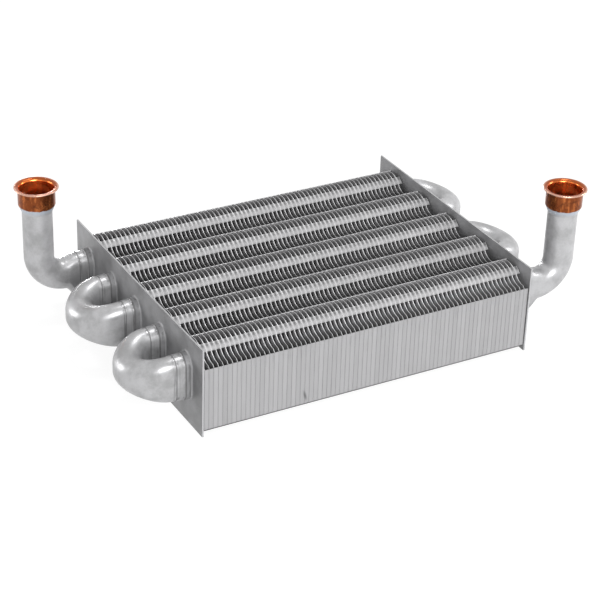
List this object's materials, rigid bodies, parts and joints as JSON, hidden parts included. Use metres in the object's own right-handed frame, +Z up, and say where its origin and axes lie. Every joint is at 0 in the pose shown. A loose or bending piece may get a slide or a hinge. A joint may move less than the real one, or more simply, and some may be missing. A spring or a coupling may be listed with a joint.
{
  "type": "boiler heat exchanger",
  "caption": "Gas-to-water heat exchanger: scalloped plate fins between two end plates, oblong water tubes joined by U bends, elbows with copper bell sockets",
  "frame": {"origin": "on the ground plane, below the middle of the fin pack, at the centre of the bottom of the bounding box", "axes": "+X along the water tubes, towards the outlet elbow's side; +Y to the rear, towards the inlet elbow; +Z up, out of the mouths of the bells"},
  "size_m": [0.3204, 0.18, 0.0975],
  "materials": {
    "end_plate": "satin aluminium-silver coating on copper sheet",
    "water_tube": "satin aluminium-silver coating on copper tube",
    "turbulator": "plain rolled strip",
    "fins": "satin aluminium-silver coating on thin copper sheet",
    "return_bend": "satin aluminium-silver coating on copper tube",
    "elbow": "satin aluminium-silver coating, bare bright copper at the bell"
  },
  "bodies": {
    "root": {"left_end_plate": "end_plate", "right_end_plate": "end_plate", "tube_1": "water_tube", "turbulator_1": "turbulator", "tube_2": "water_tube", "turbulator_2": "turbulator", "tube_3": "water_tube", "turbulator_3": "turbulator", "tube_4": "water_tube", "turbulator_4": "turbulator", "tube_5": "water_tube", "turbulator_5": "turbulator", "fin_pack": "fins", "return_bend_1": "return_bend", "return_bend_2": "return_bend", "return_bend_3": "return_bend", "return_bend_4": "return_bend", "inlet_elbow": "elbow", "outlet_elbow": "elbow"}
  },
  "joints": []
}
